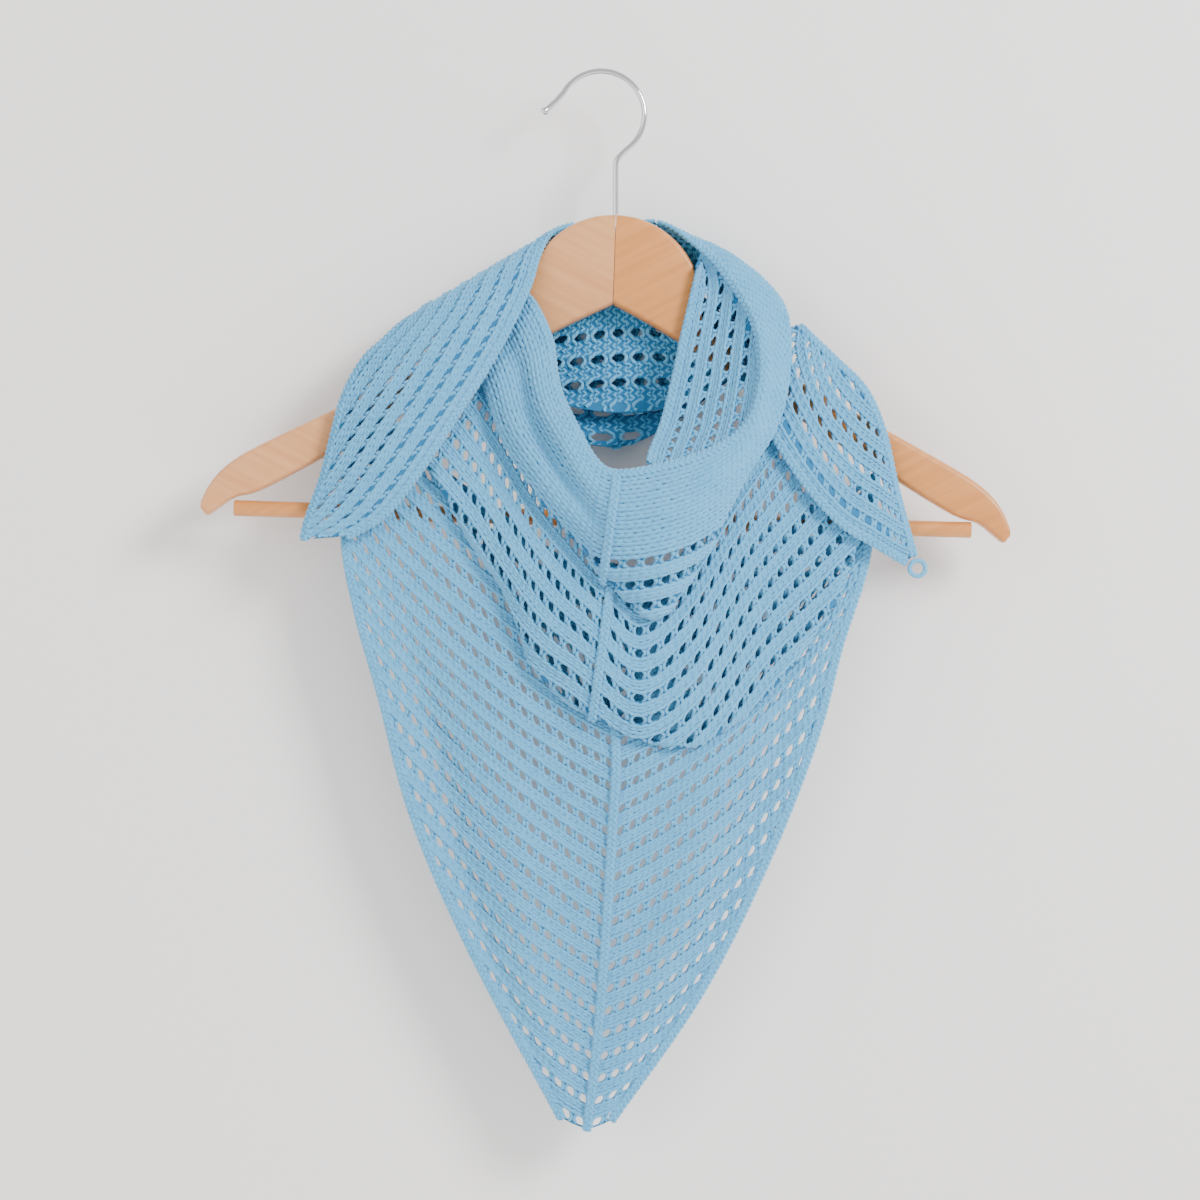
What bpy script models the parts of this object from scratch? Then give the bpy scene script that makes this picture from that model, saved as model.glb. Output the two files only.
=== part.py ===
"""Knitted triangular shawl hung on a contoured wooden hanger, in metres, +Z up.

The origin is the underside of the hook's crook, where the hanger is held. X runs to the viewer's right, +Y
into the wall behind, and the cloth faces -Y. "Forward" in a table is the distance towards the viewer.
The shawl is one long triangle of cloth. Its long edge runs round the neck, behind the hanger and forward again
over the left arm, and its other end goes behind the hanger and forward over the right arm.
"""

import math
from collections import namedtuple

import bmesh
import bpy
import numpy as np
from mathutils import Matrix

MM = 0.001

SPINE_GAP = 0.35 * MM  # from the spine to each half of the point
CLOTH_BACK = 1.6 * MM  # from the cloth's middle surface to its plain back
CLOTH_THICK = 3.9 * MM  # wall at a knitted ridge
VALLEY_SHARE = 0.74  # wall between two ridges, as a share of that
ROW_PITCH = 11.6 * MM  # one eyelet row and the band under it
EYELET_RIM = 2.1 * MM  # knitting left between an eyelet and the edge of its repeat
EYELET_LEAST = 8.4 * MM  # repeats narrower than this keep their eyelet closed
CROSS_STEEPNESS = 2.6  # of the cloth's crown, rounder edges with a higher power
GROOVE_AT = 0.48  # across the cloth
GROOVE_WIDTH = 0.15
PANEL_REPEATS = 14  # across half of the point
PANEL_FIRST_EYELETS = 5  # rows of the point above this hang under the swag
RIDGE_AT = 0.42  # across half of the point, from its spine
RIDGE_WIDTH = 0.16
TROUGH_AT = 0.76
TROUGH_WIDTH = 0.11

ARM_THICK = 12 * MM
ARM_CORNER = 3.5 * MM
ARM_FORWARD = 6 * MM  # how far the contoured arms' ends come forward
ARM_REACH = 222.3 * MM
JOINT_X = 6.1 * MM  # the vertical joint between the two arms
JOINT_Z = -126.6 * MM  # the notch under that joint
JOINT_GAP = 0.15 * MM  # half the gap between the arms
HANGER_TILT = math.radians(2.0)  # the viewer's right end hangs lower

BAR_RADIUS = 4.4 * MM
BAR_REACH_LEFT = 204.6 * MM
BAR_REACH_RIGHT = 201.4 * MM
BAR_DROP_LEFT = 120.8 * MM
BAR_DROP_RIGHT = 118.8 * MM

WIRE_RADIUS = 1.65 * MM
CROOK_RADIUS = 24 * MM  # to the wire's middle
CROOK_X = -0.5 * MM
SHANK_X = 7.6 * MM
BALL_STEPS = (0.6, 1.2, 2.1, 3.0, 3.8, 4.2)  # along the wire, in mm, to the points of its small ball end
BALL_SCALES = (1.0, 1.25, 1.45, 1.45, 1.1, 0.45)  # of the wire's radius at each

LOOP_RADIUS = 4.3 * MM
LOOP_YARN = 1.5 * MM
LOOP_AT = (172.4 * MM, -18.6 * MM, -273.6 * MM)

# Across the arm at each distance out from the joint: its top and its bottom, in mm above the notch.
ArmSection = namedtuple("ArmSection", "out top bottom")
ARM_SECTIONS = [
    ArmSection(0.0, 48.5, -1.0),
    ArmSection(12.0, 47.0, -7.0),
    ArmSection(24.0, 42.1, -13.2),
    ArmSection(34.0, 34.6, -18.8),
    ArmSection(41.0, 26.0, -22.4),
    ArmSection(45.5, 16.5, -25.0),
    ArmSection(48.0, 3.0, -26.6),
    ArmSection(50.0, -9.0, -27.8),
    ArmSection(56.0, -15.2, -31.6),
    ArmSection(85.0, -30.2, -48.8),
    ArmSection(120.0, -48.0, -69.6),
    ArmSection(155.0, -66.3, -90.2),
    ArmSection(190.0, -84.8, -110.2),
    ArmSection(204.0, -93.2, -114.7),
    ArmSection(213.0, -101.0, -121.0),
    ArmSection(219.0, -109.5, -125.2),
    ArmSection(ARM_REACH / MM, -117.0, -122.0),
]

# Across the cloth, in mm: the place of its long edge (x, z, forward), the place of its other side, how far its
# middle stands out, the way it faces in degrees (0 the viewer, 90 up, 180 the wall), and the depth of the
# groove that a fold leaves along it.
Section = namedtuple("Section", "in_x in_z in_f out_x out_z out_f crown lean groove")

# The border: up from the left arm, round the neck, over the right arm, behind the hanger and over the left arm.
BORDER = [
    Section(-43.5, -122.6, 10.4, -74.6, -155, 10.4, 1, 10, 0),
    Section(-37, -131, 16, -70, -164, 14, 3, 0, 2),
    Section(-29, -150, 24, -64, -180, 19, 5, 0, 4),
    Section(-25, -175, 33, -55, -206, 25.5, 7, 0, 7),
    Section(-16, -196, 42, -36, -238, 32, 8, 0, 8),
    Section(-4, -217, 48, -11, -266, 35, 8, 0, 4),
    Section(8, -223.5, 50, 1, -281, 36.8, 8, 0, 0),
    Section(32, -220, 50, 29, -303, 37, 9, 0, 0),
    Section(57, -212, 46, 54, -272, 33, 9, 0, 0),
    Section(77, -198, 40, 77, -228, 28.5, 8, 0, 0),
    Section(86, -172, 33, 95, -200, 25.5, 6, 5, 0),
    Section(84, -142, 25, 103, -172, 20.5, 5, 15, 0),
    Section(71, -116, 14, 104, -139, 11.5, 5, 40, 0),
    Section(53, -95, 3, 96, -128, -9, 8, 75, 0),
    Section(30, -82, -9, 80, -160, -15.5, 5, 120, 0),
    Section(6, -85, -15, 6, -206, -17, 3, 180, 0),
    Section(-8, -84, -13.5, -72, -165, -16, 3, 140, 0),
    Section(-15, -83, -10, -91, -129, -7, 1, 100, 0),
    Section(-29, -89, 0, -101, -133, 1, 0, 70, 0),
    Section(-36, -102, 10, -110, -139, 5, 3, 40, 0),
    Section(-41, -119, 18, -119, -148, 8, 6, 20, 0),
    Section(-52, -144, 26, -130, -159, 11, 7, 10, 0),
    Section(-66, -169, 28, -140, -178, 15.5, 7, 0, 0),
    Section(-81, -192, 28, -146, -199, 16, 6, 0, 0),
    Section(-98, -218, 27, -152, -223, 16, 5, 0, 0),
    Section(-118, -243, 24.5, -160, -246, 17, 3, 0, 0),
    Section(-139, -256, 21.5, -163, -258, 18, 1, 0, 0),
]
RIGHT_RIDGE = 14.0  # the places along the border where its nodes part
LEFT_RIDGE = 17.0

# The other end: over the left arm under the wing, behind the hanger, and forward over the right arm.
INNER_END = [
    Section(-44.5, -120, 9, -75, -151.4, 9, 0, 20, 0),
    Section(-46, -116.5, 0, -75, -145.8, 0, 0, 90, 0),
    Section(-44, -120, -9.5, -74, -151, -9.5, 0, 160, 0),
    Section(-26, -118, -9.7, -54, -173, -9.9, 1, 180, 0),
    Section(6, -110, -9.8, 6, -187, -10.2, 1, 180, 0),
    Section(34, -112, -9.8, 50, -180, -10.2, 1, 180, 0),
    Section(58, -126, -9.6, 88, -158, -9.8, 1, 150, 0),
    Section(68, -139.6, 0, 107, -142, -3, 0, 90, 0),
    Section(72, -149, 9.7, 110, -141, 1, 0, 40, 0),
    Section(83, -182, 19.6, 116, -147, 3.5, 2, 20, 0),
    Section(109, -224, 23.2, 127, -158, 7, 4, 10, 0),
    Section(130, -248, 23.4, 144, -176, 10.4, 4, 0, 0),
    Section(149, -260, 22.6, 154, -200, 13.7, 3, 0, 0),
    Section(160, -266.5, 21, 161, -232, 16, 2, 0, 0),
    Section(166, -270, 19.4, 170, -267, 18.4, 0, 0, 0),
]
INNER_RIDGE = 7.0

# The second fold, from the left arm to the right one. Its long edge side is tucked behind the collar.
SWAG = [
    Section(-74, -162, 11, -103, -203, 19.4, 1, 0, 0),
    Section(-63, -175, 12, -92, -224, 20.0, 2, 0, 0),
    Section(-50, -196, 15.5, -75, -257, 20.4, 5, 0, 0),
    Section(-32, -228, 22, -53, -291, 21.8, 8, 0, 0),
    Section(-14, -250, 26, -40, -327, 23, 8, 0, 0),
    Section(-5, -262, 28.5, -19, -349, 24.4, 8, 0, 0),
    Section(6, -272, 29.5, -5, -356, 25, 8, 0, 0),
    Section(21, -286, 29, 21, -369, 25, 7, 0, 0),
    Section(43, -266, 26, 54, -371, 23.5, 5, 0, 0),
    Section(71, -220, 21.5, 93, -341, 20.5, 2, 0, 0),
    Section(90, -191, 14.6, 126, -296, 18.9, 1, 0, 0),
    Section(99, -175, 11, 142, -257, 18.8, 0, 0, 0),
]

SWAG_SPINE = 14  # the repeat beside the spine, counted from the left arm
SWAG_SPINE_EYELETS = 4

# The point, down its spine: the spine, the left edge, the right edge (x, z, forward), and the rows' sag.
PanelRow = namedtuple(
    "PanelRow",
    "spine_x spine_z spine_f left_x left_z left_f right_x right_z right_f sag fold",
)
PANEL = [
    PanelRow(4, -285, 16.5, -137, -178, 11.5, 149, -222, 11.1, 3, 0),
    PanelRow(8, -371, 20.5, -141, -252, 11.5, 144.5, -269, 11.6, 12, 1),
    PanelRow(6, -415, 19, -134, -296, 11.5, 130, -316, 11, 11, 3),
    PanelRow(4, -449, 17, -121, -343, 11, 117, -365, 10.5, 9, 4),
    PanelRow(1, -493, 14.5, -103, -410, 10.5, 91, -432, 10, 7, 3.5),
    PanelRow(-3, -540, 12, -71, -484, 9.5, 54, -506, 9, 5, 1.5),
    PanelRow(-8, -582, 9, -22, -576, 8.5, 5, -577, 8.5, 0.5, 0),
]

# The rolled-in top border: the border's place it hangs from, and its own chain edge.
RimFold = namedtuple("RimFold", "along x z forward")
RIM_FOLD = [
    RimFold(13.0, 53, -108, 10.5),
    RimFold(12.2, 50, -125, 10.5),
    RimFold(11.4, 45, -148, 11.5),
    RimFold(10.5, 40, -172, 14.5),
    RimFold(9.4, 34, -195, 22),
    RimFold(8.2, 28, -210, 33),
    RimFold(7.3, 26, -218, 42),
]
RIM_FOLD_HANG = 2.7 * MM  # between the middle surfaces of the rim and of the fold behind it
RIM_FOLD_SINK = 3 * MM  # how far its middle falls back

BLUE = (0.36, 0.66, 0.82, 1.0)
BEECH = (0.72, 0.38, 0.14, 1.0)
CHROME = (0.75, 0.75, 0.76, 1.0)


def clear_scene():
    for old in list(bpy.data.objects):
        bpy.data.objects.remove(old, do_unlink=True)


def material(name, colour, roughness, metallic):
    made = bpy.data.materials.new(name)
    made.use_nodes = True
    shader = made.node_tree.nodes["Principled BSDF"]
    shader.inputs["Base Color"].default_value = colour
    shader.inputs["Roughness"].default_value = roughness
    shader.inputs["Metallic"].default_value = metallic
    return made


def add_object(name, mesh, finish, collection):
    made = bpy.data.objects.new(name, mesh)
    made.data.materials.append(finish)
    collection.objects.link(made)
    return made


def through(table, places):
    """A smooth curve through the table's rows, read at each place (0 is the first row, 1 the second)."""
    rows = np.array(table, float)
    places = np.clip(np.asarray(places, float), 0, len(rows) - 1)
    first = np.minimum(places.astype(int), len(rows) - 2)
    part = (places - first)[..., None]
    before = rows[np.maximum(first - 1, 0)]
    after = rows[np.minimum(first + 2, len(rows) - 1)]
    start, end = rows[first], rows[first + 1]
    leave = np.where((first == 0)[..., None], end - start, (end - before) / 2)
    arrive = np.where((first == len(rows) - 2)[..., None], end - start, (after - start) / 2)
    return (
        start * (2 * part**3 - 3 * part**2 + 1)
        + leave * (part**3 - 2 * part**2 + part)
        + end * (3 * part**2 - 2 * part**3)
        + arrive * (part**3 - part**2)
    )


def place(x, z, forward):
    """Table values in mm, as points in metres."""
    return np.stack([x, -forward, z], axis=-1) * MM


def faces_way(lean):
    angle = np.radians(lean)
    return np.stack([np.zeros_like(angle), -np.cos(angle), np.sin(angle)], axis=-1)


def border_surface(table, along, across):
    """The middle surface of a length of cloth. across is 0 at its long edge and 1 at its other side."""
    row = through(table, along)
    edge = place(row[..., 0], row[..., 1], row[..., 2])
    far = place(row[..., 3], row[..., 4], row[..., 5])
    bulge = row[..., 6] * (1 - np.abs(2 * across - 1) ** CROSS_STEEPNESS)
    groove = row[..., 8] * np.exp(-(((across - GROOVE_AT) / GROOVE_WIDTH) ** 2))
    out = ((bulge - groove) * MM)[..., None] * faces_way(row[..., 7])
    return edge + (far - edge) * across[..., None] + out


def panel_surface(side, down, out):
    """The middle surface of half of the point. out is 0 on the spine and 1 on that side's edge."""
    row = through(PANEL, down)
    first = 3 if side < 0 else 6
    spine = place(row[..., 0], row[..., 1], row[..., 2])
    edge = place(row[..., first], row[..., first + 1], row[..., first + 2])
    point = spine + (edge - spine) * out[..., None]
    ridge = np.exp(-(((out - RIDGE_AT) / RIDGE_WIDTH) ** 2))
    trough = np.exp(-(((out - TROUGH_AT) / TROUGH_WIDTH) ** 2))
    point[..., 0] += side * SPINE_GAP * (1 - out)
    point[..., 1] -= row[..., 10] * MM * (ridge - trough)
    point[..., 2] -= row[..., 9] * MM * 4 * out * (1 - out)
    return point


def rim_fold_surface(along, across):
    row = through(RIM_FOLD, along)
    chain = place(row[..., 1], row[..., 2], row[..., 3])
    rim = border_surface(BORDER, row[..., 0], np.zeros_like(row[..., 0]))
    hung = rim - RIM_FOLD_HANG * faces_way(through(BORDER, row[..., 0])[..., 7])
    point = chain + (hung - chain) * across[..., None]
    point[..., 1] += RIM_FOLD_SINK * np.sin(math.pi * across)
    return point


def evenly(surface, start, end, step):
    """Places from start to end whose distances on the middle of the surface are about one step."""
    fine = np.linspace(start, end, 400)
    points = surface(fine, np.full_like(fine, 0.5))
    run = np.concatenate([[0], np.cumsum(np.linalg.norm(np.diff(points, axis=0), axis=1))])
    count = max(2, round(run[-1] / step))
    return np.interp(np.linspace(0, run[-1], count + 1), run, fine)


def grid_normals(points):
    along = np.gradient(points, axis=0)
    across = np.gradient(points, axis=1)
    normal = np.cross(along, across)
    return normal / np.linalg.norm(normal, axis=-1, keepdims=True)


def cloth(name, points, facing, eyelets, finish, collection, ridges=True):
    """A wall on a grid of middle points, raised on every other row of points, with eyelets cut through.

    facing is the side the ridges stand on, and eyelets(i, j, width) picks the repeats to cut.
    """
    normal = grid_normals(points)
    if (normal * facing).sum() < 0:
        points, facing = points[::-1], facing[::-1]
        normal = grid_normals(points)
        turned = True
    else:
        turned = False
    rows, columns = points.shape[:2]
    shape = bmesh.new()
    raised = shape.verts.layers.deform.verify()
    back = points - normal * CLOTH_BACK
    corners = [[shape.verts.new(back[i, j]) for j in range(columns)] for i in range(rows)]
    for i in range(rows):
        for j in range(columns):
            corners[i][j][raised][0] = 1.0 if (j % 2 == 0 or not ridges) else 0.0
    cut = []
    for i in range(rows - 1):
        for j in range(columns - 1):
            face = shape.faces.new(
                [corners[i][j], corners[i + 1][j], corners[i + 1][j + 1], corners[i][j + 1]]
            )
            length = (back[i + 1, j] - back[i, j] + back[i + 1, j + 1] - back[i, j + 1]) / 2
            width = (back[i, j + 1] - back[i, j] + back[i + 1, j + 1] - back[i + 1, j]) / 2
            area = np.linalg.norm(np.cross(length, width))
            least = area / max(np.linalg.norm(length), np.linalg.norm(width))
            at = rows - 2 - i if turned else i
            if eyelets(at, j, least):
                cut.append(face)
    shape.normal_update()
    before = set(shape.verts)
    bmesh.ops.inset_individual(shape, faces=cut, thickness=EYELET_RIM, use_even_offset=True)
    for vertex in set(shape.verts) - before:
        vertex[raised][0] = 0.0
    bmesh.ops.delete(shape, geom=cut, context="FACES_ONLY")
    mesh = bpy.data.meshes.new(name)
    shape.to_mesh(mesh)
    shape.free()
    made = add_object(name, mesh, finish, collection)
    made.vertex_groups.new(name="ridge")
    wall = made.modifiers.new("wall", "SOLIDIFY")
    wall.thickness = CLOTH_THICK
    wall.offset = 1.0
    wall.vertex_group = "ridge"
    wall.thickness_vertex_group = VALLEY_SHARE
    made.data.shade_smooth()
    return len(cut)


def strip(name, surface, along, across, facing_lean, eyelets, finish, collection, ridges=True):
    grid_along, grid_across = np.meshgrid(along, across, indexing="ij")
    points = surface(grid_along, grid_across)
    facing = np.broadcast_to(facing_lean(grid_along), points.shape)
    return cloth(name, points, facing, eyelets, finish, collection, ridges)


def none_cut(i, j, width):
    return False


def wing_eyelets(i, j, width):
    """Every other repeat of a wing, where it is spread wide enough."""
    return width > EYELET_LEAST and (i + j) % 2 == 0


def panel_eyelets(i, j, width):
    """The repeats of the point below the swag, clear of its chain edge."""
    return i >= PANEL_FIRST_EYELETS and 1 <= j < PANEL_REPEATS - 1 and width > EYELET_LEAST


def build_cloth(yarn, collection):
    def border(along, across):
        return border_surface(BORDER, along, across)

    def inner_end(along, across):
        return border_surface(INNER_END, along, across)

    def swag(along, across):
        return border_surface(SWAG, along, across)

    def lean_of(table):
        return lambda along: faces_way(through(table, along)[..., 7])

    seam = 0.035  # of a table row, about 0.5 mm of cloth
    ridge_seam = 0.13  # the same where the rows are closer
    border_lean = lean_of(BORDER)
    end_lean = lean_of(INNER_END)

    strip(
        "shawl_collar",
        border,
        evenly(border, 0, RIGHT_RIDGE - seam, 10 * MM),
        np.linspace(0, 1, 9),
        border_lean,
        none_cut,
        yarn,
        collection,
    )
    strip(
        "shawl_wrap_outer",
        border,
        evenly(border, RIGHT_RIDGE + seam, LEFT_RIDGE - ridge_seam, 14 * MM),
        np.linspace(0, 1, 13),
        border_lean,
        none_cut,
        yarn,
        collection,
    )

    strip(
        "shawl_wing_left",
        border,
        evenly(border, LEFT_RIDGE + ridge_seam, len(BORDER) - 1, 10 * MM),
        np.linspace(0, 1, 9),
        border_lean,
        wing_eyelets,
        yarn,
        collection,
    )
    strip(
        "shawl_wrap_inner",
        inner_end,
        evenly(inner_end, 0, INNER_RIDGE - ridge_seam, 12 * MM),
        np.linspace(0, 1, 9),
        end_lean,
        none_cut,
        yarn,
        collection,
    )
    strip(
        "shawl_wing_right",
        inner_end,
        evenly(inner_end, INNER_RIDGE + ridge_seam, len(INNER_END) - 1, 10 * MM),
        np.linspace(0, 1, 9),
        end_lean,
        wing_eyelets,
        yarn,
        collection,
    )
    strip(
        "shawl_swag",
        swag,
        evenly(swag, 0, len(SWAG) - 1, 11 * MM),
        np.linspace(0, 1, 11),
        lean_of(SWAG),
        lambda i, j, width: i == SWAG_SPINE and j < SWAG_SPINE_EYELETS,
        yarn,
        collection,
    )
    strip(
        "shawl_rim_fold",
        rim_fold_surface,
        evenly(rim_fold_surface, 0, len(RIM_FOLD) - 1, 10 * MM),
        np.linspace(0, 1, 7),
        lambda along: faces_way(np.zeros_like(along)),
        none_cut,
        yarn,
        collection,
    )

    for side, name in ((-1, "shawl_panel_left"), (1, "shawl_panel_right")):

        def half(down, out, side=side):
            return panel_surface(side, down, out)

        strip(
            name,
            half,
            evenly(lambda down, out: half(down, out * 0), 0, len(PANEL) - 1, ROW_PITCH),
            np.linspace(0, 1, PANEL_REPEATS + 1),
            lambda down: faces_way(np.zeros_like(down)),
            panel_eyelets,
            yarn,
            collection,
            ridges=False,
        )


def rounded_section(top, bottom, thick, corner):
    """Points round a rounded upright oblong, as (forward, height) pairs."""
    corner = min(corner, (top - bottom) * 0.45)
    points = []
    for sign_f, sign_z, start in ((1, 1, 0), (-1, 1, 90), (-1, -1, 180), (1, -1, 270)):
        centre_f = sign_f * (thick / 2 - corner)
        centre_z = top - corner if sign_z > 0 else bottom + corner
        for step in (0, 45, 90):
            angle = math.radians(start + step)
            points.append((centre_f + corner * math.cos(angle), centre_z + corner * math.sin(angle)))
    return points


def build_arm(side, name, wood, collection):
    """A loft through the arm's sections, curved forward and tilted with the whole hanger."""
    shape = bmesh.new()
    turn = Matrix.Rotation(HANGER_TILT, 4, "Y")
    rings = []
    for section in ARM_SECTIONS:
        out = max(section.out * MM, JOINT_GAP)
        forward = ARM_FORWARD * (out / ARM_REACH) ** 2
        ring = []
        for f, z in rounded_section(section.top * MM, section.bottom * MM, ARM_THICK, ARM_CORNER):
            local = turn @ Matrix.Translation((side * out, -(forward + f), z))
            x, y, height = local.translation
            ring.append(shape.verts.new((x + JOINT_X, y, height + JOINT_Z)))
        rings.append(ring)
    count = len(rings[0])
    for first, second in zip(rings, rings[1:]):
        for k in range(count):
            after = (k + 1) % count
            shape.faces.new([first[k], first[after], second[after], second[k]])
    shape.faces.new(rings[0])
    shape.faces.new(rings[-1])
    bmesh.ops.recalc_face_normals(shape, faces=shape.faces)
    mesh = bpy.data.meshes.new(name)
    shape.to_mesh(mesh)
    shape.free()
    made = add_object(name, mesh, wood, collection)
    made.data.shade_smooth()
    made.data.set_sharp_from_angle(angle=math.radians(40))


def wire(name, points, radius, finish, collection, end=()):
    """A wire through the points, with filled ends. end scales its radius at its last points."""
    curve = bpy.data.curves.new(name, "CURVE")
    curve.dimensions = "3D"
    curve.bevel_depth = radius
    curve.bevel_resolution = 2
    curve.use_fill_caps = True
    spline = curve.splines.new("POLY")
    spline.points.add(len(points) - 1)
    for point, (x, y, z) in zip(spline.points, points):
        point.co = (x, y, z, 1.0)
    for k, scale in enumerate(end):
        spline.points[k - len(end)].radius = scale
    return add_object(name, curve, finish, collection)


def tilted(x, y, z):
    """A place in the hanger's own level frame, turned with it."""
    point = Matrix.Rotation(HANGER_TILT, 4, "Y") @ Matrix.Translation((x, y, z))
    x, y, z = point.translation
    return (x + JOINT_X, y, z + JOINT_Z)


def hook_points():
    """Up the shank, out through a reverse bend, round the crook and down to its free end."""
    centre_z = WIRE_RADIUS - CROOK_RADIUS
    dome_top = JOINT_Z + ARM_SECTIONS[0].top * MM
    points = [(SHANK_X, 0, z) for z in np.linspace(dome_top + 0.55 * MM, -60 * MM, 3)]
    leave = math.radians(-38)
    foot = np.array([SHANK_X, -50 * MM])
    start = np.array([CROOK_X + CROOK_RADIUS * math.cos(leave), centre_z + CROOK_RADIUS * math.sin(leave)])
    foot_way = np.array([0, 1.0]) * 14 * MM
    start_way = np.array([-math.sin(leave), math.cos(leave)]) * 16 * MM
    for part in np.linspace(0, 1, 7)[:-1]:
        h = (2 * part**3 - 3 * part**2 + 1, part**3 - 2 * part**2 + part)
        g = (3 * part**2 - 2 * part**3, part**3 - part**2)
        x, z = h[0] * foot + h[1] * foot_way + g[0] * start + g[1] * start_way
        points.append((x, 0, z))
    for angle in np.radians(np.arange(-38, 151, 13.5)):
        points.append(
            (CROOK_X + CROOK_RADIUS * math.cos(angle), 0, centre_z + CROOK_RADIUS * math.sin(angle))
        )
    x, _, z = points[-1]
    points.append((x - 4 * MM, 0, z - 4.6 * MM))
    x, z = x - 8.6 * MM, z - 8.6 * MM
    points.append((x, 0, z))
    for further in BALL_STEPS:
        points.append((x - further * MM * 0.75, 0, z - further * MM * 0.66))
    return points


def build_hanger(wood, chrome, collection):
    build_arm(-1, "hanger_arm_left", wood, collection)
    build_arm(1, "hanger_arm_right", wood, collection)
    ends = [
        tilted(-BAR_REACH_LEFT, -ARM_FORWARD * 0.86, -BAR_DROP_LEFT),
        tilted(BAR_REACH_RIGHT, -ARM_FORWARD * 0.86, -BAR_DROP_RIGHT),
    ]
    wire("hanger_bar", ends, BAR_RADIUS, wood, collection)
    wire("hanger_hook", hook_points(), WIRE_RADIUS, chrome, collection, end=BALL_SCALES)


def build_tip_loop(yarn, collection):
    bpy.ops.mesh.primitive_torus_add(
        major_radius=LOOP_RADIUS,
        minor_radius=LOOP_YARN,
        major_segments=16,
        minor_segments=6,
        location=LOOP_AT,
        rotation=(math.radians(90), 0, 0),
    )
    made = bpy.context.object
    made.name = "shawl_tip_loop"
    made.data.materials.append(yarn)
    for other in made.users_collection:
        other.objects.unlink(made)
    collection.objects.link(made)
    made.data.shade_smooth()


def main():
    clear_scene()
    collection = bpy.data.collections.new("knitted_shawl")
    bpy.context.scene.collection.children.link(collection)
    yarn = material("cotton_yarn", BLUE, 0.85, 0.0)
    wood = material("beech", BEECH, 0.35, 0.0)
    chrome = material("chrome", CHROME, 0.12, 1.0)
    build_hanger(wood, chrome, collection)
    build_cloth(yarn, collection)
    build_tip_loop(yarn, collection)


main()
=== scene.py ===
"""Looks of a knitted triangular shawl on a contoured wooden hanger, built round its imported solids.

Lengths in tables are millimetres, meshes are metres. X runs to the viewer's right, +Y into the wall behind,
+Z up, and the origin is the underside of the hook's crook. "Forward" is the distance towards the viewer.
"""

import logging
import math
from dataclasses import dataclass
from enum import Enum
from typing import Callable, NamedTuple, Optional, Sequence

import bpy
import numpy as np
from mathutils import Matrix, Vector


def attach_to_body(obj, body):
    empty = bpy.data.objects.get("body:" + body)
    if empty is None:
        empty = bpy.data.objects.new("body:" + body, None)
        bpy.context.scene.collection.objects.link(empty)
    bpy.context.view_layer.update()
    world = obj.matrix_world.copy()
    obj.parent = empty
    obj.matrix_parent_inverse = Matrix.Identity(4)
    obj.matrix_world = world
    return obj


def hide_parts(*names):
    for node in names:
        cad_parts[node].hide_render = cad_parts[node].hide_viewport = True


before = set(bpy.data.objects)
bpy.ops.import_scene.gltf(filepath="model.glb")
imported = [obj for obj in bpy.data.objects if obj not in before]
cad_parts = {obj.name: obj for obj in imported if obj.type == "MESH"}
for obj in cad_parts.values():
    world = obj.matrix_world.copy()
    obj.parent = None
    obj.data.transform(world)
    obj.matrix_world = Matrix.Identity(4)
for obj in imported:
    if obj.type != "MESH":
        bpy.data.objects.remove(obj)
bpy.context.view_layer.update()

LOG = logging.getLogger("shawl")
MM = 0.001

CROSS_STEEPNESS = 2.6  # of the cloth's crown, rounder edges with a higher power
GROOVE_AT, GROOVE_WIDTH = 0.48, 0.15  # across the cloth
RIDGE_AT, RIDGE_WIDTH = 0.42, 0.16  # across half of the point, from its spine
TROUGH_AT, TROUGH_WIDTH = 0.76, 0.11
SPINE_GAP = 0.35
RIM_FOLD_HANG = 2.7
RIM_FOLD_SINK = 3.0

HANGER_TILT = math.radians(2.0)
ARM_THICK, ARM_CORNER = 12.0, 3.5
ARM_FORWARD, ARM_REACH = 6.0, 222.3
JOINT_X, JOINT_Z, JOINT_GAP = 6.1, -126.6, 0.15
BAR_RADIUS = 4.4
BAR_REACH, BAR_DROP = (204.6, 201.4), (120.8, 118.8)
BAR_FORWARD = 0.86 * ARM_FORWARD
WIRE_RADIUS, CROOK_RADIUS, CROOK_X, SHANK_X = 1.65, 24.0, -0.5, 7.6
CROOK_FROM, CROOK_TO = -38.0, 150.0  # degrees round the crook
BEND_FROM_Z = -50.0  # where the wire leaves the shank
BALL_STEPS = (0.6, 1.2, 2.1, 3.0, 3.8, 4.2)  # along the wire to the points of its small ball end
BALL_SCALES = (1.0, 1.25, 1.45, 1.45, 1.1, 0.45)  # of the wire's radius at each
LOOP_RADIUS, LOOP_YARN, LOOP_AT = 4.3, 1.3, (172.4, -18.6, -273.6)


class Section(NamedTuple):
    """Across the cloth: its long edge, its other side (x, z, forward), crown, lean in degrees and groove."""

    in_x: float
    in_z: float
    in_f: float
    out_x: float
    out_z: float
    out_f: float
    crown: float
    lean: float
    groove: float


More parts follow.
